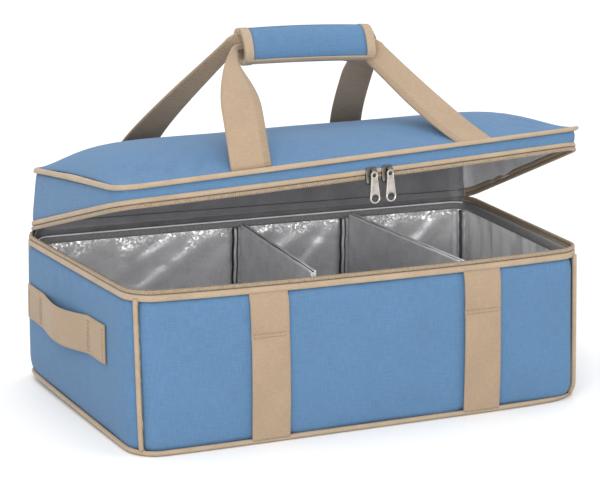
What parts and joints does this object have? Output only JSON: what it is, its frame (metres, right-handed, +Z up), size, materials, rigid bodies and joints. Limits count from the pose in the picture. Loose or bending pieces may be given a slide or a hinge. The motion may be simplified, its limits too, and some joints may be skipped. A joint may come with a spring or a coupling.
{
  "type": "food delivery bag",
  "caption": "Insulated soft food carrier: padded foil-lined case with swinging dividers, hinged zip lid, webbing handles in a wrap grip and a grab handle at each end.",
  "frame": {"origin": "centre of the base's underside, on the ground the bag stands on", "axes": "+X along the long front to the right, +Y from the front to the hinge side, +Z up"},
  "size_m": [0.4602, 0.2585, 0.3179],
  "materials": {
    "cloth": "blue woven polyester",
    "webbing": "beige ribbed webbing",
    "trim": "beige piping, tape and binding",
    "foil": "silver foil laminate",
    "binding": "grey woven binding",
    "foam": "white foam padding",
    "board": "stiff plastic base board",
    "hook_and_loop": "black hook and loop tape",
    "zip_metal": "pewter plated zip metal"
  },
  "bodies": {
    "case": {"base_panel": "cloth", "base_board": "board", "base_liner": "foil", "base_piping": "trim", "front_panel": "cloth", "front_foam": "foam", "front_liner": "foil", "right_panel": "cloth", "right_foam": "foam", "right_liner": "foil", "back_panel": "cloth", "back_foam": "foam", "back_liner": "foil", "left_panel": "cloth", "left_foam": "foam", "left_liner": "foil", "corner_piping_front_left": "trim", "corner_piping_front_right": "trim", "corner_piping_back_left": "trim", "corner_piping_back_right": "trim", "case_zip_tape": "trim", "case_zip_coil": "trim", "rim_binding": "binding", "hinge_tape": "cloth", "front_strap_left": "webbing", "front_strap_right": "webbing", "back_strap_left": "webbing", "back_strap_right": "webbing", "side_handle_left": "webbing", "side_handle_right": "webbing", "divider_strip_left": "binding", "divider_strip_right": "binding"},
    "lid": {"lid_top_panel": "cloth", "lid_foam": "foam", "lid_liner": "foil", "lid_gusset_lining": "foil", "lid_gusset": "cloth", "lid_back_gusset": "cloth", "lid_piping": "trim", "lid_zip_tape": "trim", "lid_zip_coil": "trim", "front_handle_strap": "webbing", "rear_handle_strap": "webbing"},
    "grip": {"grip_pad": "cloth", "grip_binding_left": "trim", "grip_binding_right": "trim", "grip_hook_strip": "hook_and_loop"},
    "grip_flap": {"grip_flap": "cloth", "grip_flap_binding": "trim", "grip_loop_strip": "hook_and_loop"},
    "zip_slider_left": {"zip_slider_left": "zip_metal"},
    "zip_pull_left": {"zip_pull_left": "zip_metal"},
    "divider_left": {"divider_panel_left": "foil"},
    "zip_slider_right": {"zip_slider_right": "zip_metal"},
    "zip_pull_right": {"zip_pull_right": "zip_metal"},
    "divider_right": {"divider_panel_right": "foil"}
  },
  "joints": [
    {"name": "lid_hinge", "type": "hinge", "parent": "case", "child": "lid", "pos_m": [0, 0.1193, 0.132], "axis": [-1, 0, 0], "range_deg": [-18.5, 131.5]},
    {"name": "grip_drop", "type": "slide", "parent": "lid", "child": "grip", "axis": [0, 0.2084, 0.978], "range_m": [-0.046, 0], "deforming": ["front_handle_strap", "rear_handle_strap"]},
    {"name": "grip_flap_hinge", "type": "hinge", "parent": "grip", "child": "grip_flap", "pos_m": [0.01, 0.01299, 0.31794], "axis": [-1, 0, 0], "range_deg": [0, 110]},
    {"name": "zip_slide_left", "type": "slide", "parent": "lid", "child": "zip_slider_left", "axis": [1, 0, 0], "range_m": [-0.19, 0]},
    {"name": "zip_slide_right", "type": "slide", "parent": "lid", "child": "zip_slider_right", "axis": [1, 0, 0], "range_m": [0, 0.15]},
    {"name": "zip_pull_hinge_left", "type": "hinge", "parent": "zip_slider_left", "child": "zip_pull_left", "pos_m": [0.014, -0.10943, 0.21644], "axis": [-1, 0, 0], "range_deg": [0, 150]},
    {"name": "zip_pull_hinge_right", "type": "hinge", "parent": "zip_slider_right", "child": "zip_pull_right", "pos_m": [0.0285, -0.10943, 0.21644], "axis": [-1, 0, 0], "range_deg": [0, 150]},
    {"name": "divider_swing_left", "type": "hinge", "parent": "case", "child": "divider_left", "pos_m": [-0.017, 0.1065, 0.064], "axis": [0, 0, 1], "range_deg": [-70, 13]},
    {"name": "divider_swing_right", "type": "hinge", "parent": "case", "child": "divider_right", "pos_m": [0.093, 0.1065, 0.064], "axis": [0, 0, 1], "range_deg": [-16, 26]}
  ]
}
